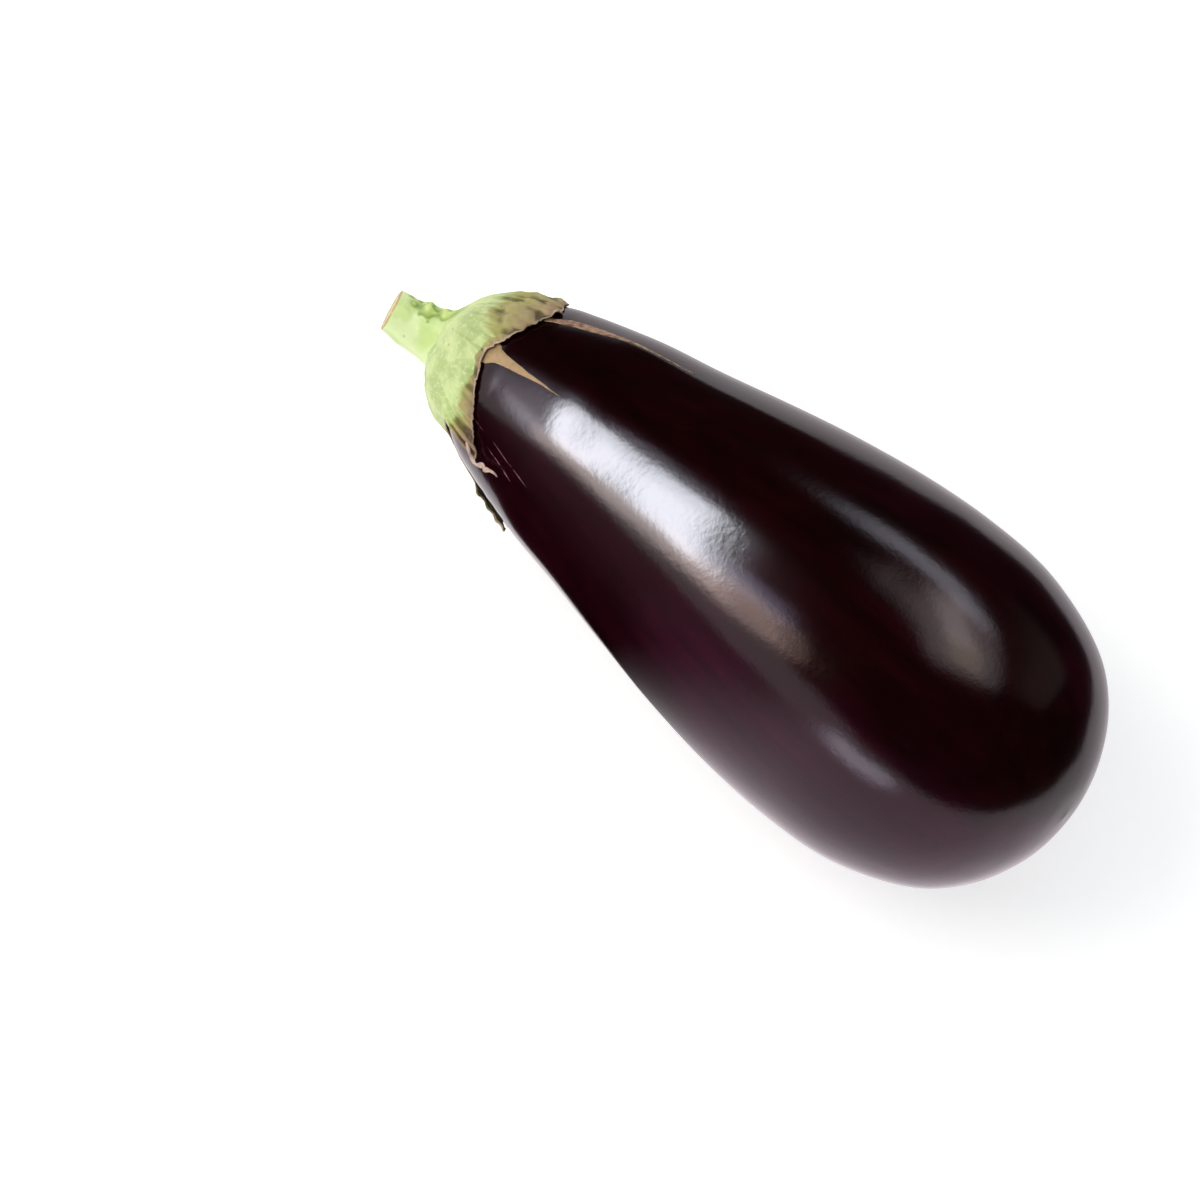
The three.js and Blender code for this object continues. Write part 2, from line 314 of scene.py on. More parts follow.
# %% [markdown]
# ## The calyx and the stem
#
# The calyx is a fleshy cap that splits into six sepals and thins out to paper on the skin. Spread
# out flat it would be a ragged star, so that is how it is drawn: a rim through points given by
# angle and reach, and straight spokes from a ring on the cap out to the rim. Each spoke is then
# draped over the skin with the thickness of the flesh on it. The stem is one more stack of rings
# that starts in the same columns, so the whole thing stays one body, as it grew.

# %% Sepals, by their rim
CAP_REACH = 13
SAMPLES_PER_POINT = 12
# cap: where its base starts on the cap. lift: how far its tip stands off the skin. dry: the reach
# at which it starts to dry and the reach at which it is all dry.
SEPALS = [
    dict(cap=-15, lift=0.25, dry=(12, 44), rim=[
        (-15, 30.4), (-3, 32.8), (10, 35), (26, 36.7), (33, 37.9), (39, 36.9), (46, 35), (53, 33.3),
        (68, 31.2)]),
    dict(cap=80, lift=1.6, dry=(30, 46), rim=[
        (80, 28.5), (89, 33), (97, 38), (103, 43.5), (106, 48), (110, 42), (118, 34)]),
    dict(cap=128, lift=1.0, dry=(31, 46), rim=[
        (128, 28), (138, 32), (146, 37), (151, 43), (155, 38.5), (162, 33)]),
    dict(cap=170, lift=1.0, dry=(30, 46), rim=[
        (170, 29), (178, 34), (185, 40), (190, 46), (194, 41), (202, 33.5)]),
    dict(cap=212, lift=0.3, dry=(16, 33), rim=[
        (212, 28), (219, 34), (227, 40.5), (236.5, 47.5), (246, 54.6), (249.8, 53.4), (248.8, 47.5),
        (248, 41.5), (249.5, 35.5), (256.5, 29)]),
    dict(cap=275, lift=0.5, dry=(30, 41), rim=[
        (264, 27), (287, 28.6), (292, 31.5), (293.6, 35), (293.8, 38.5), (293.6, 41.5), (293.4, 43.8),
        (294.6, 45.4), (297, 44.8), (300.6, 43), (306, 40.7), (312.5, 38.6), (322, 35.8), (334, 32.7)]),
]
# Three of them get touches of their own: the one on top, the one that is all brown, the nearest.
TOP, BROWN, NEAREST = 0, 4, 5


def spread_out(reach, angle):
    return np.stack([reach * np.cos(angle), reach * np.sin(angle)], -1)


rim_points = np.array([point for sepal in SEPALS for point in sepal["rim"]], float)
rim = smooth_curve(spread_out(rim_points[:, 1], np.radians(rim_points[:, 0])), SAMPLES_PER_POINT, True)
COLUMNS = len(rim)

columns = {}
for number, sepal in enumerate(SEPALS):
    last = number + 1 == len(SEPALS)
    cap_end = SEPALS[0]["cap"] + 360 if last else SEPALS[number + 1]["cap"]
    count = len(sepal["rim"]) * SAMPLES_PER_POINT
    across = np.arange(count) / count
    tip_angle, tip_reach = max(sepal["rim"], key=lambda point: point[1])
    for name, value in dict(
        cap=np.radians(sepal["cap"] + (cap_end - sepal["cap"]) * across), across=across, order=number,
        rib=math.radians((sepal["cap"] + cap_end) / 2), lift=sepal["lift"], tip_reach=tip_reach,
        tip_angle=math.radians(tip_angle), dry0=sepal["dry"][0], dry1=sepal["dry"][1],
    ).items():
        columns.setdefault(name, []).append(value + 0 * across)
columns = {name: np.concatenate(values) for name, values in columns.items()}
order, across = columns["order"], columns["across"]
print(f"six sepals in {COLUMNS} columns")

# %% The ragged rim
# Teeth about 1.5 mm apart with finer ones between them, as dried flesh tears. They are deeper where
# it is dry, and the brown sepal is torn in coarser steps too.
FRESH_TOOTH, DRY_TOOTH = 0.35, 0.42
rim_reach = np.hypot(*rim.T)
rim_dryness = ease(columns["dry0"], columns["dry1"], rim_reach)
teeth = grain(rim, 1.5, 5.3) + 0.7 * grain(rim, 0.75, 2.9)
teeth += (order == BROWN) * grain(rim, 3.1, 6.2)
ragged = rim * (1 + (FRESH_TOOTH + DRY_TOOTH * rim_dryness) * teeth / rim_reach)[:, None]
print(f"the teeth reach {np.abs(ragged - rim).max():.1f} mm off the drawn rim")

# %% Spokes from the cap to the rim
BANDS = 44
outward = (1 - (1 - np.linspace(0, 1, BANDS)) ** 1.35)[:, None]
cap_ring = spread_out(CAP_REACH, columns["cap"])
spread = cap_ring + (ragged - cap_ring) * outward[..., None]
reach, angle = np.hypot(spread[..., 0], spread[..., 1]), np.arctan2(spread[..., 1], spread[..., 0])
rim_distance = np.linalg.norm(ragged - spread, axis=-1)
print(f"the longest spoke is {rim_distance[0].max():.1f} mm")

# %% Where it has dried
# It dries from the tips inwards, in patches, and along the rims that lie on top.
patches = grain(spread, 6, 1.7) + 0.6 * grain(spread, 2.4, 6.1)
dryness = ease(columns["dry0"], columns["dry1"], reach + 3.2 * patches)
near_notch = (order == TOP) * (1 - ease(math.radians(-12), math.radians(14), angle))
dryness = dryness * (1 - 0.85 * near_notch)
dry_width = np.where(order == TOP, 4.6, 2.2)
along_rim = 1 - ease(0.8, dry_width, rim_distance + 0.9 * patches)
on_top = (order == TOP) | ((order == NEAREST) & (across > 0.45))
dryness = np.maximum(dryness, 0.8 * along_rim * on_top * ease(27, 31, reach))
brown = (order == BROWN) * ease(20, 29, reach)
print(f"dry at {100 * (dryness > 0.5).mean():.0f} % of its points")

# %% The underside
# The tips are lifted, the edge waves and crinkles, and a small arch opens where the top sepal has
# curled up. Beyond the cap it comes down with the drawn-in neck, so that it lies close to the skin.
PARTING_REACH = 26
ARCH_HEIGHT, ARCH_ANGLE, ARCH_HALF = 0.9, math.radians(31.5), math.radians(3.2)
to_tip = np.clip((reach - PARTING_REACH) / (columns["tip_reach"] - PARTING_REACH), 0, 1)
lifted = columns["lift"] * np.sin(math.pi * across) * to_tip**2
phase = 2 * math.pi * np.arange(COLUMNS) / COLUMNS
edge_wave = 0.3 * (1 + np.cos(31 * phase + 1.5 * grain(rim, 9, 4.4))) / 2
crinkle = (0.1 + 0.25 * rim_dryness) * grain(rim, 2.2, 9.2)
off_notch = ease(27, 32, rim_reach)
waving = off_notch * (1 - brown) * (edge_wave + crinkle + 0.12) * outward**5
arch = ARCH_HEIGHT * np.exp(-(((angle - ARCH_ANGLE) / ARCH_HALF) ** 2)) * (order == TOP)
sunk = ease(17, 25, reach) * (0.3 + neck_in(reach))
curled = 0.85 * ease(39.5, 43.5, reach) * (1 + grain(spread, 2.2, 5.1)) - 0.1
underside = 0.16 + lifted + waving + arch * ease(0.75, 1, outward) - sunk + brown * curled
print(f"the underside stands up to {underside.max():.1f} mm off the outline")

# %% Ribs, fibres and puckers
def along_sepal(columns_apart, bands_apart, sepals_apart):
    """Places by column, band and sepal: noise taken there is drawn out along each sepal."""
    place = across * columns_apart, outward * bands_apart, order * sepals_apart
    return np.stack(np.broadcast_arrays(*place), -1)


rib_start = spread_out(CAP_REACH, columns["rib"])
rib_way = spread_out(columns["tip_reach"], columns["tip_angle"]) - rib_start
off_rib = np.linalg.norm(spread - (rib_start + rib_way * outward[..., None]), axis=-1)
midrib = 0.6 * np.exp(-((off_rib / 2.4) ** 2)) * (1 - outward)
fibres = 1 - 3.2 * np.abs(grain(along_sepal(17, 1.1, 3.3), 1.0, 0.4))
puckers = 1 - 2.8 * np.abs(grain(along_sepal(11, 2.6, 5.1), 1.0, 7.7) + 0.4 * grain(spread, 2.4, 2.7))
ridged = (order == NEAREST) * ease(0.4, 0.62, across) * ease(22, 30, reach)
puckered = (order == TOP) * ease(18, 26, reach)
crests = (0.08 + 0.25 * dryness + 0.4 * ridged + 0.16 * puckered) * fibres
crests += (0.1 * dryness + 0.42 * puckered) * puckers
# The crest mark also tells the finish where to paint the crests paler and the valleys darker, partly as
# painted light and shade.
crest_mark = np.clip(0.5 + 0.5 * (np.maximum(dryness, ridged) * fibres + puckered * puckers), 0, 1)
print(f"crests rise up to {crests.max():.1f} mm")

# %% The flesh and the two faces
# The flesh is thick on the cap, most so on the -Y side, and thins out to paper at the rim.
CAP_FLESH, CAP_FLESH_REACH = 3.5, 18.5
SEPAL_FLESH, RIM_FLESH = 0.85, 0.35
THINNEST, BROWN_THICKNESS = 0.26, 0.42
lean = 1 + 0.25 * np.cos(columns["cap"] - math.radians(255))
flesh = CAP_FLESH * lean * np.exp(-((reach / CAP_FLESH_REACH) ** 3.5))
lumps = grain(spread, 4.2, 2.2) + 0.5 * grain(spread, 1.8, 3.9)
knobs = grain(spread, 8.5, 4.6)
uneven = (1 - ease(0.94, 1, outward)) * (0.28 * lumps + 0.3 * knobs + crests)
thickness = SEPAL_FLESH - (SEPAL_FLESH - RIM_FLESH) * ease(0.55, 1, outward) + flesh + midrib + uneven
thickness += 0.8 * sunk * (1 - ease(0.7, 1, outward))
thickness = np.maximum(thickness, THINNEST) * (1 - brown) + brown * (BROWN_THICKNESS + 0.14 * fibres)

outer_face = above_skin(reach, angle, underside + thickness)
inner_face = above_skin(reach, angle, underside)[::-1][::2]
lip = above_skin(reach[-1] + 0.1, angle[-1], underside[-1] + thickness[-1] / 2)
print(f"the calyx is {thickness.min():.2f} to {thickness.max():.1f} mm thick")

# %% [markdown]
# ### The stem
#
# The stalk is tough green flesh with a knobbly ridge along its top. It was cut with a knife, on the
# slant, and its pith has sunk a little. A bevelled curve would give a smooth stick; rings that turn
# slowly from square to slanted give the cut, the ridge and the flare onto the cap in one go.

# %% Rings of the stem
STEM_CENTRES = [(-6.4, -3.6, 0), (-13.4, -5.4, 1.2), (-20.2, -6.8, 3)]
STEM_RADII = [(7.5,), (6.3,), (5.5,)]
CUT_DIRECTION = np.array([-0.861, -0.308, 0.404])
RIDGE_ANGLE, RIDGE_HALF = math.radians(30), math.radians(24)


def unit(ways):
    """The same directions, one long."""
    return ways / np.linalg.norm(ways, axis=-1, keepdims=True)


stem_centres = smooth_curve(STEM_CENTRES, 100)
stem_radii = smooth_curve(STEM_RADII, 100)
stem_way = np.linspace(0, 1, len(stem_centres))
stem_direction = unit(np.gradient(stem_centres, axis=0))
around = columns["cap"]


def at_way(values, along):
    return np.array([np.interp(along, stem_way, v) for v in values.T])


def stem_ring(along, width_share=1.0, inset=0.0):
    """One ring of the stem and its ridge; they turn from square across it to the slant of the cut."""
    direction = at_way(stem_direction, along)
    normal = unit(direction + (CUT_DIRECTION - direction) * along**2)
    upwards = unit([0, 0, 1] - normal[2] * normal)
    sideways = np.cross(normal, upwards)
    ridge = np.exp(-(((around - RIDGE_ANGLE) / RIDGE_HALF) ** 2)) * (1 - along**4)
    lump_wave = 0.6 + 0.4 * math.cos(2 * math.pi * 2.6 * along)
    place = np.stack([np.cos(around) * 6, np.sin(around) * 6, around * 0 + along * 15.0], -1)
    warts = np.maximum(grain(place, 2.3, 4.1) + 0.1, 0) * 2.3
    width = at_way(stem_radii, along)[0] * (1 + 0.05 * np.cos(6 * around))
    width = width + ridge * (0.8 * lump_wave + warts)
    width = width + 0.16 * grain(place * [1, 1, 0.5], 1.6, 1.1) + 0.32 * grain(place, 4.5, 6.6)
    spokes = upwards * np.cos(around)[:, None] + sideways * np.sin(around)[:, None]
    centre = at_way(stem_centres, along) - normal * inset
    return centre + (width * width_share)[:, None] * spokes, ridge * (0.3 + 0.7 * np.clip(warts, 0, 1))


print(f"the stem is {np.linalg.norm(np.diff(stem_centres, axis=0), axis=1).sum():.1f} mm long")

# %% The cut face, the stem and the flare
# Beside each ring go its marks: how far out on the cut it is, how much ridge it has, and how much
# it belongs to the stem.
STEM_BANDS = 46
FLARE_BANDS = 14
PITH_DEPTH, CUT_BEVEL = 0.5, 0.42
rings, cut_mark, ridge_mark, stem_mark = [], [], [], []


def add_ring(points, *values):
    rings.append(points)
    for mark, value in zip((cut_mark, ridge_mark, stem_mark), values):
        mark.append(np.full(COLUMNS, 0.0) + value)


for share in (0.08, 0.2, 0.32, 0.44, 0.55, 0.64, 0.7, 0.75, 0.79, 0.83, 0.87, 0.905):
    sunk_pith = PITH_DEPTH * (1 - ease(0.66, 0.82, share)) + 0.06 * math.sin(share * 40)
    add_ring(stem_ring(1, share, sunk_pith)[0], share, 0, 1)
for share, inset in ((0.955, 0.06), (0.985, 0.2), (1, CUT_BEVEL)):
    add_ring(stem_ring(1, share, inset)[0], 0.93 + 0.07 * inset / CUT_BEVEL, 0, 1)
for along in np.linspace(0.965, 0, STEM_BANDS):
    points, ridge = stem_ring(along)
    add_ring(points, 1 + (1 - along) * 10, ridge, 1)
foot = rings[-1]
root = stem_ring(0, 1, 1.3)[0]
for share in np.arange(1, FLARE_BANDS) / FLARE_BANDS:
    flare = foot * (1 - share) ** 2 + 2 * root * share * (1 - share) + outer_face[0] * share**2
    swell = 0.22 * share * grain(flare, 3.1, 5.5)
    add_ring(flare - swell[:, None] * [1, 0, 0], 12, ridge * (1 - share), 1 - share)
print(f"{len(rings)} rings of stem above {BANDS} of calyx")

# %% Join them into one body
# From the cut face down the stem, over the sepals, round the lip and back in under the cap.
under_cap = above_skin(np.full(COLUMNS, 7.0), around, 0.2)
stack = np.concatenate([rings, outer_face, lip[None], inner_face, under_cap[None]])
bare = np.zeros((len(rings), COLUMNS))
blank = np.zeros((BANDS, COLUMNS))


def whole_stack(on_calyx, on_stem=0):
    """A mark for every ring: the stem's own values, then the calyx's, outer face, lip, inner face."""
    on_calyx, on_stem = on_calyx + blank, on_stem + bare
    return np.concatenate([on_stem, on_calyx, on_calyx[-1:], on_calyx[::-1][::2], on_calyx[:1]])


# The under mark is 1 on the inner face and under the cap and 0.5 on the lip; the finish paints it dark
# brown as painted shade.
inside = [bare, blank, blank[:1] + 0.5, blank[::2] + 1, blank[:1] + 1]
marks = {
    "dry": whole_stack(dryness),
    "rim": whole_stack(rim_distance, 30),
    "fibre": whole_stack(across * 17 + order * 40),
    "crest": whole_stack(crest_mark),
    "outward": whole_stack(outward),
    "ridge": whole_stack(0, ridge_mark),
    "cut": whole_stack(12, cut_mark),
    "stem": whole_stack(0, stem_mark),
    "under": np.concatenate(inside),
    "brown": whole_stack(brown),
}
pith_centre = stem_ring(1, 0.0, PITH_DEPTH)[0][0]
calyx = closed_body(
    "calyx_and_cut_stem", laid_down(pith_centre), laid_down(stack),
    laid_down(above_skin(np.array(0.0), 0.0, 0.2)), marks)
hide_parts("calyx_and_stem")

# %% [markdown]
# ## Scars
#
# As the fruit swells, its skin can tear beside the calyx and heal as cork: one broad wedge that
# runs out to a point, and one long streak. Fine scratches heal as pink threads. Each is modelled as
# a low lens of its own that sits in the skin, so its edge is crisp and catches the light, which a
# painted mark wouldn't do.

# %% A low strip that follows the skin
STRIP_ACROSS = 9
STRIP_DEPTH = 0.25


def skin_strip(name, stations, crown, ragged, steps=10):
    """stations: (reach, one edge's angle, the other edge's angle), angles in degrees."""
    path = smooth_curve(stations, steps)
    middle = np.radians(path[:, 1:].mean(1))[:, None]
    half = np.radians((path[:, 2] - path[:, 1]) / 2)[:, None]
    row = np.arange(len(path))[:, None]
    wobble = [grain(np.hstack([row, 0 * row, 0 * row + side]), 1.7, 0.3)[:, None] for side in (0, 40)]
    radius = np.interp(path[:, :1], outline_reach, outline_radius)
    t = np.linspace(-1, 1, STRIP_ACROSS)
    turn_there = middle + half * t + ragged * np.where(t < 0, *wobble) * t / radius
    reach_there = path[:, :1] + 0 * turn_there
    ground = skin_height(reach_there, turn_there)
    dome = np.sqrt(np.maximum(1 - t**2, 0))
    bumps = 1 + 0.5 * grain(np.stack([reach_there, turn_there * 30, 0 * turn_there], -1), 1.1, 2.5)
    top = above_skin(reach_there, turn_there, ground + crown * dome * bumps - 0.04)
    low = above_skin(reach_there, turn_there, ground - STRIP_DEPTH)[:, ::-1][:, 1:-1]
    rings = laid_down(np.concatenate([top, low], 1))[:, ::-1]
    return closed_body(name, rings[0].mean(0), rings, rings[-1].mean(0))


wedge_scar = skin_strip("wedge_scar", [
    (29.5, 337, 356), (32.3, 339, 355.6), (34.2, 342.3, 353.2), (36.8, 344, 352.2), (40, 345.4, 351.6),
    (43.5, 346.6, 351), (47, 347.9, 350.6), (51, 349, 350.4), (55.5, 349.5, 350), (58, 349.9, 350.1),
], crown=0.1, ragged=0.12)
streak_scar = skin_strip("streak_scar", [
    (33, 22, 28), (37, 24.8, 30), (40.5, 27.4, 35.4), (44, 29.6, 37.6), (48, 31.5, 38.6),
    (52, 33.5, 39.2), (56, 36, 39.8), (61, 37.8, 40), (67, 38.8, 40.2), (73, 39.3, 40),
    (78, 39.6, 39.8)], crown=0.14, ragged=0.35)
print("two corky scars")

# %% Healed scratches
# Each runs straight from one end to the other, is widest in the middle and ends in two points.
SCRATCH_WIDTH = 0.75  # in degrees about the axis
SCRATCHES = [
    [(35.5, 310.2), (44, 309.4)], [(50, 304), (57.5, 301.6)], [(51, 303.2), (59, 300.8)],
    [(47, 304.2), (52.5, 303)], [(48, 309.8), (56, 307.6)], [(55.5, 308.2), (64, 306.2)],
]
for number, ends in enumerate(SCRATCHES):
    share = np.linspace(0, 1, 6)
    reach_there, angle_there = (start + (end - start) * share for start, end in zip(*ends))
    half = (SCRATCH_WIDTH * np.sin(math.pi * share) ** 0.7 + 0.03) / 2
    stations = np.stack([reach_there, angle_there - half, angle_there + half], -1)
    scratch = skin_strip(f"scratch_{number + 1}", stations, crown=0.045, ragged=0.05, steps=8)

# %% [markdown]
# ## The scar where the flower was
#
# At the far end the dried flower leaves a small corky disc with a ragged rim. It sits off the pole,
# on the lower side. It is a small stack of rings too, laid over the skin, so it follows every dent.

# %% Blossom scar
SCAR_RADIUS = 2.6
SCAR_OFFSET = 18.5
SCAR_ANGLE = math.radians(170)
SCAR_RINGS = [  # the share of the radius, and the height over the skin
    (0.15, 0.02), (0.35, 0.05), (0.55, 0.1), (0.75, 0.12), (0.9, 0.14), (1.0, 0.1), (1.03, -0.2)]
theta = 2 * math.pi * np.arange(60) / 60
ragged_edge = SCAR_RADIUS * (1 + 0.1 * np.cos(5 * theta) + 0.06 * np.cos(11 * theta + 1))
scar_rings = []
for share, lift in SCAR_RINGS:
    flat_x = share * ragged_edge * np.cos(theta) + SCAR_OFFSET * math.cos(SCAR_ANGLE)
    flat_y = share * ragged_edge * np.sin(theta) + SCAR_OFFSET * math.sin(SCAR_ANGLE)
    pole_reach = FRUIT_REACH - np.hypot(flat_x, flat_y)
    pole_angle = np.arctan2(flat_y, flat_x)
    scar_rings.append(above_skin(pole_reach, pole_angle, skin_height(pole_reach, pole_angle) + lift))
scar_reach = np.array(FRUIT_REACH - SCAR_OFFSET)
scar_centre, scar_under = (laid_down(above_skin(scar_reach, SCAR_ANGLE, z)) for z in (-0.4, -1.2))
blossom_scar = closed_body("blossom_scar", scar_centre, laid_down(np.array(scar_rings)), scar_under)

# %% [markdown]
# ## The curled edge
#
# The tip of the sepal nearest us has dried to a thin twisted ribbon that has come off the skin. A
# bevelled curve can't crease and fade as it goes, so a flat oval that turns is swept along the
# crooked path, ring by ring.

# %% Ribbon
RIBBON_HALF_WIDTH, RIBBON_HALF_THICKNESS = 0.62, 0.17
RIBBON_PATH = [
    (41.5, 299.2, 0.9), (43.6, 295.6, 0.9), (45.6, 293.6, 0.8), (47.6, 294.6, 1.1), (49.2, 296.9, 0.8),
    (50.6, 297.2, 1.2), (52.2, 298.9, 1.0), (53.6, 299.3, 0.7), (54.6, 298.5, 0.4)]
ribbon_path = smooth_curve([(r, math.radians(a), h) for r, a, h in RIBBON_PATH], 10)
ribbon_points = above_skin(*ribbon_path.T)
ribbon_up = above_skin(*(ribbon_path + [0, 0, 1]).T) - ribbon_points
ribbon_way = unit(np.gradient(ribbon_points, axis=0))
ribbon_side = unit(np.cross(ribbon_way, ribbon_up))
share = np.linspace(0, 1, len(ribbon_points))[:, None]
twist = 0.5 * np.sin(share * 13) + 0.3
flat_way = np.cos(twist) * ribbon_side + np.sin(twist) * ribbon_up
thin_way = np.cross(ribbon_way, flat_way)
narrowing = np.sin(math.pi * np.clip(share * 0.9 + 0.08, 0, 1)) ** 0.5
half_width = (RIBBON_HALF_WIDTH + 0.14 * np.sin(share * 31)) * narrowing
section = 2 * math.pi * np.arange(16) / 16
creased = RIBBON_HALF_THICKNESS * (1 + 0.5 * np.cos(3 * section)) * np.sin(section)
ribbon_rings = laid_down(
    ribbon_points[:, None] + flat_way[:, None] * (half_width * np.cos(section))[..., None]
    + thin_way[:, None] * creased[:, None])
ribbon = closed_body("curled_sepal_edge", ribbon_rings[0].mean(0), ribbon_rings, ribbon_rings[-1].mean(0))

# %% [markdown]
# ## Finishes
#
# A finish is a small network of nodes, which reads from top to bottom when it is written down. One
# small function adds a node with its settings and links, and one turns the hex values that we know
# from screens into the linear ones that light needs.

# %% Helpers for finishes
def linear(hex_colour):
    values = [int(hex_colour[i : i + 2], 16) / 255 for i in (1, 3, 5)]
    return (*(v / 12.92 if v <= 0.04045 else ((v + 0.055) / 1.055) ** 2.4 for v in values), 1.0)


def add(tree, kind, inputs=None, out=0, stops=(), **settings):
    """Adds a node and gives back one of its outputs. Inputs are values or outputs of other nodes."""
    made = tree.nodes.new("ShaderNode" + kind)
    for name, value in settings.items():
        setattr(made, name, value)
    for name, value in (inputs or {}).items():
        if isinstance(value, bpy.types.NodeSocket):
            tree.links.new(value, made.inputs[name])
        else:
            made.inputs[name].default_value = value
    for number, (position, colour) in enumerate(stops):
        ramp = made.color_ramp.elements
        stop = ramp[number] if number < 2 else ramp.new(position)
        stop.position, stop.color = position, linear(colour)
    return made.outputs[out] if len(made.outputs) else made


def new_finish(name, **constants):
    """A finish with its main shader; the constants are set on the shader's own sockets."""
    finish = bpy.data.materials.new(name)
    finish.use_nodes = True
    shader = finish.node_tree.nodes["Principled BSDF"]
    for socket, value in constants.items():
        shader.inputs[socket.replace("_", " ")].default_value = value
    return finish, finish.node_tree, shader


SOFT_STEP = dict(interpolation_type="SMOOTHSTEP")
COLOUR_MIX = dict(out=2, data_type="RGBA")
print("linear of #808080:", round(linear("#808080")[0], 3))

# %% [markdown]
# ### Waxed aubergine skin
#
# The skin is a film of plant wax, with an index of refraction near 1.4, over cells packed with
# dark purple pigment. The eye gets two things from it: mirror reflections in a near-black body, and
# a red-purple glow where light gets into the cells. On the flanks and belly a paler purple is
# painted in as well, a painted glow that stands for light thrown up from the table. The pigment
# runs in faint streaks along the fruit. The film is finely uneven, every third of a millimetre or
# so; that is drawn two to five times coarser, so that it shows where it breaks up the edge of a
# highlight.

# %% Skin finish
skin_finish, tree, shader = new_finish(
    "waxed_aubergine_skin", Roughness=0.15, IOR=1.38, Specular_IOR_Level=0.5)
place = add(tree, "TexCoord", out="Object")
streak_way = add(tree, "Mapping", {"Vector": place, "Scale": (0.12, 1, 1), "Rotation": (0, LYING_TILT, 0)})
streaks = add(tree, "TexNoise", {"Vector": streak_way, "Scale": 220, "Detail": 3, "Roughness": 0.55})
clouds = add(tree, "TexNoise", {"Vector": place, "Scale": 28, "Detail": 2})
amount = add(tree, "Math", {0: streaks, 1: clouds, 2: 0.12}, operation="MULTIPLY_ADD")
# The first ramp is the deep pigment. The second is a paler purple that is painted on the flanks as a
# painted glow of light from the table.
deep_pigment = add(tree, "ValToRGB", {0: amount}, stops=[(0.25, "#0f0101"), (0.62, "#220307")])
painted_glow_pigment = add(tree, "ValToRGB", {0: amount}, stops=[(0.25, "#2a0518"), (0.62, "#400a28")])
painted_glow_mark = add(tree, "Attribute", out="Fac", attribute_name="painted_flank_glow")
pigment_and_painted_glow = add(tree, "Mix", {0: painted_glow_mark, 6: deep_pigment, 7: painted_glow_pigment}, **COLOUR_MIX)
tree.links.new(pigment_and_painted_glow, shader.inputs["Base Color"])
cells = add(tree, "TexNoise", {"Vector": place, "Scale": 1500, "Detail": 2, "Roughness": 0.6})
pores = add(tree, "TexNoise", {"Vector": place, "Scale": 600, "Detail": 2})
relief = add(tree, "Math", {0: pores, 1: 2.5, 2: cells}, operation="MULTIPLY_ADD")
bump = add(tree, "Bump", {"Strength": 0.5, "Distance": 0.000018, "Height": relief})
tree.links.new(bump, shader.inputs["Normal"])
skin.data.materials.append(skin_finish)
print("skin finish on", skin.name)

# %% [markdown]
# ### Calyx flesh, fresh to dry
#
# Fresh calyx is pale yellow-green flesh under a felt of tiny hairs, so it is matt, slightly
# translucent and soft at its edges. As it dries it turns olive, then brown, and the fibres stand up
# as crests along the sepal. The crests are coloured paler and the valleys darker, partly the dried
# fibres' own colour and partly painted highlight and painted shade. Its very edge dries first, to a
# beige-pink line. The mesh carries marks that say how dry each point is, where the crests are and
# how far the rim is, and the finish reads them.

# %% Calyx finish: fresh green
calyx_finish, tree, shader = new_finish(
    "calyx_flesh_fresh_to_dry", Roughness=0.62, IOR=1.4, Subsurface_Weight=0.12,
    Subsurface_Radius=(0.0012, 0.0016, 0.0006), Subsurface_Scale=1.0,
    Sheen_Weight=0.12, Sheen_Roughness=0.5)
place = add(tree, "TexCoord", out="Object")
mark = {name: add(tree, "Attribute", out="Fac", attribute_name=name) for name in marks}
broad = add(tree, "TexNoise", {"Vector": place, "Scale": 150, "Detail": 3})
fine = add(tree, "TexNoise", {"Vector": place, "Scale": 900, "Detail": 3, "Roughness": 0.6})
patch = add(tree, "MapRange", {0: broad, 1: 0.4, 2: 0.62}, **SOFT_STEP)
green = add(tree, "Mix", {0: patch, 6: linear("#d3e39f"), 7: linear("#b9cd85")}, **COLOUR_MIX)
pale = add(tree, "MapRange", {0: fine, 1: 0.5, 2: 0.78}, **SOFT_STEP)
green = add(tree, "Mix", {0: pale, 6: green, 7: linear("#e2ecbb")}, **COLOUR_MIX)
stem_green = add(tree, "Mix", {0: patch, 6: linear("#eafabe"), 7: linear("#daf0a2")}, **COLOUR_MIX)
green = add(tree, "Mix", {0: mark["stem"], 6: green, 7: stem_green}, **COLOUR_MIX)
# On the ridge the knobs are lime green, darker between them and brighter on their tops: partly their own
# colour, partly painted shade and painted highlight.
lump = add(tree, "ValToRGB", {0: mark["ridge"]}, stops=[(0.28, "#9dba5e"), (0.75, "#dcee96")])
on_ridge = add(tree, "MapRange", {0: mark["ridge"], 1: 0.1, 2: 0.3}, **SOFT_STEP)
green = add(tree, "Mix", {0: on_ridge, 6: green, 7: lump}, **COLOUR_MIX)
print("fresh green with paler stem and limier lumps")

# %% Calyx finish: olive, brown and the rim
fibre_way = add(tree, "CombineXYZ", {0: mark["fibre"], 1: mark["outward"]})
fibre_noise = add(tree, "TexNoise", {"Vector": fibre_way, "Scale": 1.6, "Detail": 4, "Roughness": 0.6})
uneven = add(tree, "Math", {0: fibre_noise, 1: 0.6, 2: mark["dry"]}, operation="MULTIPLY_ADD")
uneven = add(tree, "Math", {0: uneven, 1: 0.3}, operation="SUBTRACT")
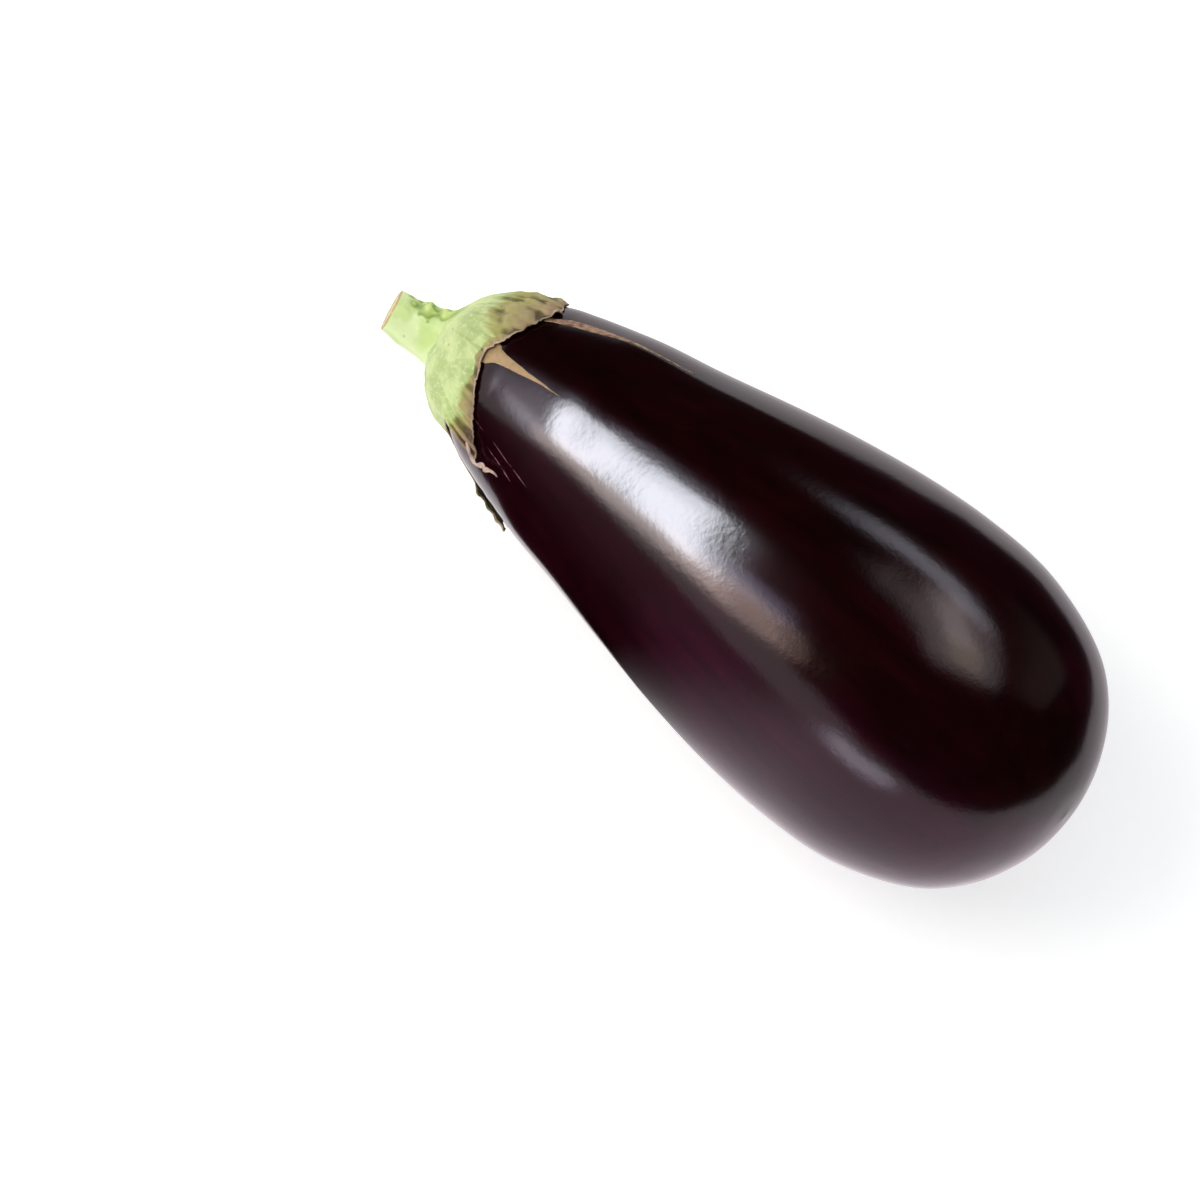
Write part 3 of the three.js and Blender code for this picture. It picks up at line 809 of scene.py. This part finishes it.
# The valley tones are darker and the crest tones paler: partly the fibres' own colour, partly painted
# shade in the valleys and painted highlight on the crests.
valley = add(tree, "ValToRGB", {0: uneven}, stops=[
    (0.1, "#8a9550"), (0.35, "#6c6833"), (0.65, "#62542f"), (0.95, "#4a3826")])
crest = add(tree, "ValToRGB", {0: uneven}, stops=[
    (0.1, "#b9c27c"), (0.35, "#aca562"), (0.65, "#b2a272"), (0.95, "#a48a6c")])
crest_here = add(tree, "MapRange", {0: mark["crest"], 1: 0.32, 2: 0.78}, **SOFT_STEP)
drying = add(tree, "Mix", {0: crest_here, 6: valley, 7: crest}, **COLOUR_MIX)
dry_here = add(tree, "MapRange", {0: uneven, 1: 0.04, 2: 0.28}, **SOFT_STEP)
colour = add(tree, "Mix", {0: dry_here, 6: green, 7: drying}, **COLOUR_MIX)
# The brown sepal goes from near-black to brown in random flecks, and where the crests and the noise are
# highest it is painted pale beige as glints: painted highlights.
flecks_and_painted_glints = add(tree, "Math", {0: fine, 1: 1.3, 2: mark["crest"]}, operation="MULTIPLY_ADD")
bark_and_painted_glints = add(tree, "ValToRGB", {0: flecks_and_painted_glints}, stops=[(0.62, "#120d0a"), (0.8, "#4a3b30"), (0.98, "#b09c86")])
colour = add(tree, "Mix", {0: mark["brown"], 6: colour, 7: bark_and_painted_glints}, **COLOUR_MIX)
rim_noise = add(tree, "Math", {0: fine, 1: 1.2, 2: mark["rim"]}, operation="MULTIPLY_ADD")
rim_line = add(tree, "MapRange", {0: rim_noise, 1: 0.8, 2: 1.15, 3: 0.9, 4: 0.0}, **SOFT_STEP)
rim_tone = add(tree, "ValToRGB", {0: broad}, stops=[(0.4, "#8a6a52"), (0.58, "#d2b8a0")])
colour = add(tree, "Mix", {0: rim_line, 6: colour, 7: rim_tone}, **COLOUR_MIX)
print("four tones of drying in valleys and four on crests")

# %% Calyx finish: cut face, specks and relief
cut_tone = add(tree, "ValToRGB", {0: mark["cut"]}, stops=[
    (0.0, "#d9cf9c"), (0.6, "#efe8c0"), (0.74, "#e6d7a6"), (0.86, "#b99566"), (0.99, "#cdbb8c")])
on_cut = add(tree, "MapRange", {0: mark["cut"], 1: 1.0, 2: 1.35, 3: 1.0, 4: 0.0}, **SOFT_STEP)
colour = add(tree, "Mix", {0: on_cut, 6: colour, 7: cut_tone}, **COLOUR_MIX)
dots = add(tree, "TexVoronoi", {"Vector": place, "Scale": 330}, "Distance")
dot_kind = add(tree, "TexVoronoi", {"Vector": place, "Scale": 330}, "Color")
speck = add(tree, "MapRange", {0: dots, 1: 0.08, 2: 0.22, 3: 0.5, 4: 0.0}, **SOFT_STEP)
few = add(tree, "MapRange", {0: add(tree, "SeparateColor", {0: dot_kind}), 1: 0.68, 2: 0.75}, **SOFT_STEP)
speck = add(tree, "Math", {0: speck, 1: few}, operation="MULTIPLY")
colour = add(tree, "Mix", {0: speck, 6: colour, 7: linear("#7d8748")}, **COLOUR_MIX)
# The inner face under the calyx, and half of its lip, is painted dark brown: painted shade where the calyx
# lies on the skin.
colour = add(tree, "Mix", {0: mark["under"], 6: colour, 7: linear("#5c4c34")}, **COLOUR_MIX)
tree.links.new(colour, shader.inputs["Base Color"])
flesh_grain = add(tree, "Math", {0: fibre_noise, 1: 0.8, 2: fine}, operation="MULTIPLY_ADD")
pitted = add(tree, "Math", {0: speck, 1: -0.8, 2: flesh_grain}, operation="MULTIPLY_ADD")
bump = add(tree, "Bump", {"Strength": 0.6, "Distance": 0.0003, "Height": pitted})
tree.links.new(bump, shader.inputs["Normal"])
calyx.data.materials.append(calyx_finish)
print("calyx finish reads", ", ".join(marks))

# %% [markdown]
# ### Cork and dried edge
#
# Scar cork is dry, matt and warm beige, mottled with red-brown where pigment is left under it. The
# scratches are the same cork, too thin to hide the purple, so they come out pink, and the curled
# edge is dried to paper. They differ only in numbers, so one function makes them all.

# %% Cork, pink thread and dried paper finishes
def dry_finish(name, light, dark, size, rough, relief):
    """The size of the mottle and the depth of the relief are in mm."""
    finish, tree, shader = new_finish(name, Roughness=rough, IOR=1.45, Specular_IOR_Level=0.3)
    place = add(tree, "TexCoord", out="Object")
    mottle = add(tree, "TexNoise", {
        "Vector": place, "Scale": 1 / (size * MM), "Detail": 4, "Roughness": 0.65})
    tone = add(tree, "ValToRGB", {0: mottle}, stops=[(0.36, dark), (0.6, light)])
    tree.links.new(tone, shader.inputs["Base Color"])
    bump = add(tree, "Bump", {"Strength": 0.6, "Distance": relief * MM, "Height": mottle})
    tree.links.new(bump, shader.inputs["Normal"])
    return finish


for piece, *look in (
    (wedge_scar, "smooth_scar_cork", "#b89c74", "#a1855f", 4, 0.5, 0.1),
    (streak_scar, "mottled_scar_cork", "#b8987a", "#754a40", 1.6, 0.5, 0.15),
    (blossom_scar, "blossom_scar_cork", "#9a7a55", "#4c3424", 0.8, 0.7, 0.3),
    (ribbon, "dried_sepal_edge", "#dcc4b6", "#b08c7e", 1.2, 0.7, 0.2),
):
    piece.data.materials.append(dry_finish(*look))
thread = dry_finish("healed_scratch", "#8a6068", "#512c36", 1.5, 0.35, 0.03)
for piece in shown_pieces():
    if piece.name.startswith("scratch_"):
        piece.data.materials.append(thread)
print("five dry finishes")

# %% [markdown]
# ## The table
#
# The table is a plain, nearly white sheet that also glows a little, or it would come out grey.
# Reflections don't see it: the skin gets a white sweep of its own further on, which can be slanted.

# %% Table
TABLE_HALF = 3.0
corners = [(x * TABLE_HALF, y * TABLE_HALF, 0) for x, y in ((-1, -1), (1, -1), (1, 1), (-1, 1))]
floor_mesh = bpy.data.meshes.new("table")
floor_mesh.from_pydata(corners, [], [(0, 1, 2, 3)])
floor = in_scene("table", floor_mesh)
floor.location.z = -0.0002
floor.visible_glossy = False
floor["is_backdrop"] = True
table_finish, tree, shader = new_finish(
    "lit_white_table", Roughness=0.6, Specular_IOR_Level=0.2, Emission_Color=(1.0, 1.0, 1.0, 1.0),
    Emission_Strength=0.56)
place = add(tree, "TexCoord", out="Object")
paper = add(tree, "TexNoise", {"Vector": place, "Scale": 300, "Detail": 2})
tone = add(tree, "ValToRGB", {0: paper}, stops=[(0.3, "#efefee"), (0.7, "#f4f4f3")])
tree.links.new(tone, shader.inputs["Base Color"])
floor.data.materials.append(table_finish)
print("the table is", 2 * TABLE_HALF, "m wide")

# %% [markdown]
# ## A black card
#
# To keep one flank of a shiny thing deep, a black card is stood beside it. This one leans away from
# the neck on the -Y side, and only reflections see it. It fades out towards the thick half and is
# dimly lit at the top, so that what the skin mirrors has no hard end.

# %% Black card
CARD_FOOT = [(-0.175, 0.012), (-0.1, 0.01), (-0.085, 0.003), (0.02, 0.0)]  # x and z of its low edge
CARD_TOP = 0.105
CARD_BESIDE, CARD_LEAN = 0.036, 0.752
card_edges = [
    (x, -CARD_BESIDE - CARD_LEAN * z, z) for x, z in CARD_FOOT + [(x, CARD_TOP) for x, _ in CARD_FOOT]]
card_mesh = bpy.data.meshes.new("black_card")
card_mesh.from_pydata(card_edges, [], [(i, i + 1, i + 5, i + 4) for i in range(3)])
card = in_scene("black_card", card_mesh)
for ray in ("camera", "diffuse", "transmission", "shadow"):
    setattr(card, "visible_" + ray, False)
card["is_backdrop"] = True
card_finish, tree, shader = new_finish(
    "black_card", Base_Color=linear("#0a0708"), Roughness=1.0, Specular_IOR_Level=0.0,
    Emission_Color=linear("#b58e9c"))
place = add(tree, "TexCoord", out="Object")
along_card, up_card = (add(tree, "SeparateXYZ", {0: place}, axis) for axis in "XZ")
thin_end = add(tree, "MapRange", {0: along_card, 1: -0.045, 2: 0.018, 3: 1.0, 4: 0.0}, **SOFT_STEP)
lit_top = add(tree, "MapRange", {0: up_card, 1: 0.03, 2: 0.08, 3: 0.0, 4: 0.8}, **SOFT_STEP)
tree.links.new(thin_end, shader.inputs["Alpha"])
tree.links.new(lit_top, shader.inputs["Emission Strength"])
card.data.materials.append(card_finish)
print("the card stands", round(CARD_TOP * 1000), "mm high")

# %% [markdown]
# ## The light that shades the body
#
# Light shades the matt calyx and is mirrored by the skin. One broad lamp behind the stem end does
# the first, with a soft shadow. It isn't mirrored, so that the highlights can be drawn apart.

# %% Key light
key = bpy.data.lights.new("key", "AREA")
key.size = 0.7
key.energy = 4.6
key.color = linear("#fffaf2")[:3]
lamp = in_scene("key", key)
from_key = Vector((-0.533, -0.308, 0.788))
lamp.location = Vector((-0.02, 0, 0.045)) + from_key
lamp.rotation_euler = from_key.to_track_quat("Z", "Y").to_euler()
lamp.visible_glossy = False
print("the key light is", round(from_key.length, 2), "m away")

# %% [markdown]
# ## What the skin mirrors
#
# A glossy body shows the room more than itself. Softboxes could be objects, but drawn into the far
# surroundings a panel needs only its direction, size, roll and the softness of its edge. Panels of
# different strength overlap to an uneven window, and below a slanted edge a white sweep stands for
# bright table and walls. All the rest is nearly black.

# %% One soft panel
room = bpy.data.worlds.new("room")
bpy.context.scene.world = room
room.use_nodes = True
tree = room.node_tree
tree.nodes.clear()
direction = add(tree, "TexCoord", out="Generated")


def soft_panel(
    behind, azimuth, elevation, across, over, half_width, half_height, roll, soft, radiance, colour,
):
    """Adds a panel to what is behind it. Sizes and shifts are in tangents from its direction."""
    a, e, r = math.radians(azimuth), math.radians(elevation), math.radians(roll)
    towards = Vector((math.cos(a) * math.cos(e), math.sin(a) * math.cos(e), math.sin(e)))
    level = Vector((-math.sin(a), math.cos(a), 0))
    upright = towards.cross(level)
    wide = (level * math.cos(r) + upright * math.sin(r), half_width)
    high = (upright * math.cos(r) - level * math.sin(r), half_height)
    middle = towards + level * across + upright * over
    ahead = add(tree, "VectorMath", {0: direction, 1: towards}, "Value", operation="DOT_PRODUCT")
    sides = [
        add(tree, "VectorMath", {0: direction, 1: (way - towards * way.dot(middle)) / half}, "Value",
            operation="DOT_PRODUCT") for way, half in (wide, high)]
    place = add(tree, "CombineXYZ", {0: sides[0], 1: sides[1]})
    place = add(tree, "VectorMath", {0: place, 1: ahead}, operation="DIVIDE")
    place = add(tree, "VectorMath", {0: place, 1: place}, operation="MULTIPLY")
    off = add(tree, "VectorMath", {0: place}, "Value", operation="LENGTH")
    lit = add(tree, "MapRange", {0: off, 1: 1 - soft, 2: 1 + soft, 3: 1.0, 4: 0.0}, **SOFT_STEP)
    in_front = add(tree, "Math", {0: ahead, 1: 0.0}, operation="GREATER_THAN")
    lit = add(tree, "Math", {0: lit, 1: in_front}, operation="MULTIPLY")
    shine = [radiance * value for value in linear(colour)[:3]] + [1.0]
    return add(tree, "Mix", {0: lit, 6: behind, 7: shine}, blend_type="ADD", **COLOUR_MIX)


print("a panel is drawn by azimuth from +X and elevation")

# %% The sweep and the panels
# The sweep ends at a slanted plane, given by the direction square to it, and is dimmer on the +Y
# side. Then come the long panel behind the stem end with its core and tail, the window on the far
# side and a faint streak on the near one.
SWEEP_PLANE = (0.295, 0.454, 0.841)
DARK, SWEEP_WHITE = (0.008, 0.008, 0.008, 1), (1.24, 1.14, 1.2, 1)
below = add(tree, "VectorMath", {0: direction, 1: SWEEP_PLANE}, "Value", operation="DOT_PRODUCT")
sweep = add(tree, "MapRange", {0: below, 1: -0.04, 2: 0.04, 3: 1.0, 4: 0.0}, **SOFT_STEP)
to_far_side = add(tree, "SeparateXYZ", {0: direction}, "Y")
dimmer = add(tree, "MapRange", {0: to_far_side, 1: 0.05, 2: 0.45, 3: 1.0, 4: 0.62}, **SOFT_STEP)
sweep = add(tree, "Math", {0: sweep, 1: dimmer}, operation="MULTIPLY")
mirrored = add(tree, "Mix", {0: sweep, 6: DARK, 7: SWEEP_WHITE}, **COLOUR_MIX)
# By azimuth and elevation: shift across and over, half width and height, roll, softness, radiance,
# colour.
PANELS = {
    (-168, 38): [
        (0.135, -0.03, 0.31, 0.076, -19, 0.38, 33, "#f2f5ff"),
        (0.18, -0.07, 0.2, 0.045, -21, 0.7, 11, "#f6f6ff"),
        (-0.24, 0.03, 0.07, 0.05, 0, 0.9, 3.5, "#eceaff"),
        (0.45, -0.20, 0.11, 0.14, -17, 0.8, 9, "#ffece6"),
        (0.50, 0.0, 0.17, 0.14, -12, 0.9, 5.5, "#ffd9d0"),
        (0.58, 0.15, 0.17, 0.12, -12, 0.9, 2.8, "#ffdccb"),
        (0.34, 0.1, 0.12, 0.13, -12, 0.9, 4.0, "#dcd8ff"),
        (0.36, -0.35, 0.17, 0.08, -28, 0.9, 4.5, "#f2eeff"),
        (0.08, -0.2, 0.32, 0.11, -25, 0.9, 1.8, "#efe8ff"),
    ],
    (105, 45): [
        (-0.2, 0.36, 0.34, 0.42, 30, 0.9, 2.3, "#faecee"),
        (0.0, -0.2, 0.34, 0.11, -26, 0.85, 3.8, "#f0f0ff"),
        (-0.1, 0.14, 0.12, 0.26, 34, 0.8, 2.6, "#fbeef2"),
        (-0.3, 0.46, 0.14, 0.2, 20, 0.8, 1.8, "#ffe2c0"),
        (-1.3, -0.4, 0.7, 0.6, 20, 0.9, 0.25, "#fff0e4"),
    ],
    (-89, 8): [
        (0.05, 0.14, 0.24, 0.09, -10, 0.8, 5.0, "#f0ecff"),
    ],
}
for side, panels in PANELS.items():
    for panel in panels:
        mirrored = soft_panel(mirrored, *side, *panel)
    print("soft panels about", side, "are", len(panels))

# %% [markdown]
# ## The room
#
# Each kind of ray gets its own surroundings: the lens sees plain white, matt surfaces get an even
# fill, and only mirrored rays meet the sweep and the panels.

# %% Room
fill = add(tree, "Background", {"Color": (0.93, 0.96, 1.0, 1.0), "Strength": 0.5})
mirrored = add(tree, "Background", {"Color": mirrored, "Strength": 1.0})
white = add(tree, "Background", {"Color": (1.0, 1.0, 1.0, 1.0), "Strength": 1.0})
in_gloss = add(tree, "LightPath", out="Is Glossy Ray")
to_camera = add(tree, "LightPath", out="Is Camera Ray")
seen = add(tree, "MixShader", {0: in_gloss, 1: fill, 2: mirrored})
seen = add(tree, "MixShader", {0: to_camera, 1: seen, 2: white})
add(tree, "OutputWorld", {"Surface": seen})
bpy.context.scene.view_settings.view_transform = "Standard"
print("the room is up with", len(tree.nodes), "nodes")

# %% [markdown]
# ## Both sizes
#
# Both boxes are printed, the plain solids' and the pieces'. The pieces have to keep the
# size of the plain solids.

# %% Print both sizes
new_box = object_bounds()
for name, corners in (("solids", solid_box), ("pieces", new_box)):
    print(name, [[round(v * 1000, 2) for v in corner] for corner in corners])
